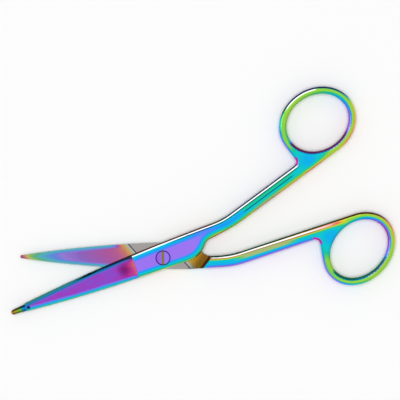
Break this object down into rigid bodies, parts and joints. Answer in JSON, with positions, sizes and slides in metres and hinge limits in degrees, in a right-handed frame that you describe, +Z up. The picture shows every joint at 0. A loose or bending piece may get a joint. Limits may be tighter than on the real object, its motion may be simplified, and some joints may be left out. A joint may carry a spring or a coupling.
{
  "type": "bandage scissors",
  "caption": "Angled bandage scissors with a blunt probe nose, a pointed plain blade, oval finger rings and a flush slotted pivot screw, rainbow-coated steel.",
  "frame": {"origin": "on the pivot axis, in the plane on which the scissors lie, which is the outer joint face of the rear half", "axes": "+Z up along the pivot axis, out of the screw's head; +X along the rear half's joint, from the blade tips towards the finger rings"},
  "size_m": [0.1341, 0.0796, 0.0048],
  "materials": {
    "coated_front": "satin-polished steel with a rainbow interference coating, violet on the flats and blue, teal, green and gold round the edges",
    "coated_rear": "the same rainbow coating, with an uncoated satin band across the inner joint face",
    "coated_screw": "the same rainbow coating, violet head with an olive slot"
  },
  "bodies": {
    "rear": {"rear_half": "coated_rear", "pivot_screw": "coated_screw"},
    "front": {"front_half": "coated_front"}
  },
  "joints": [
    {"name": "pivot", "type": "hinge", "parent": "rear", "child": "front", "pos_m": [0, 0, 0], "axis": [0, 0, 1], "range_deg": [-17.5, 114]}
  ]
}
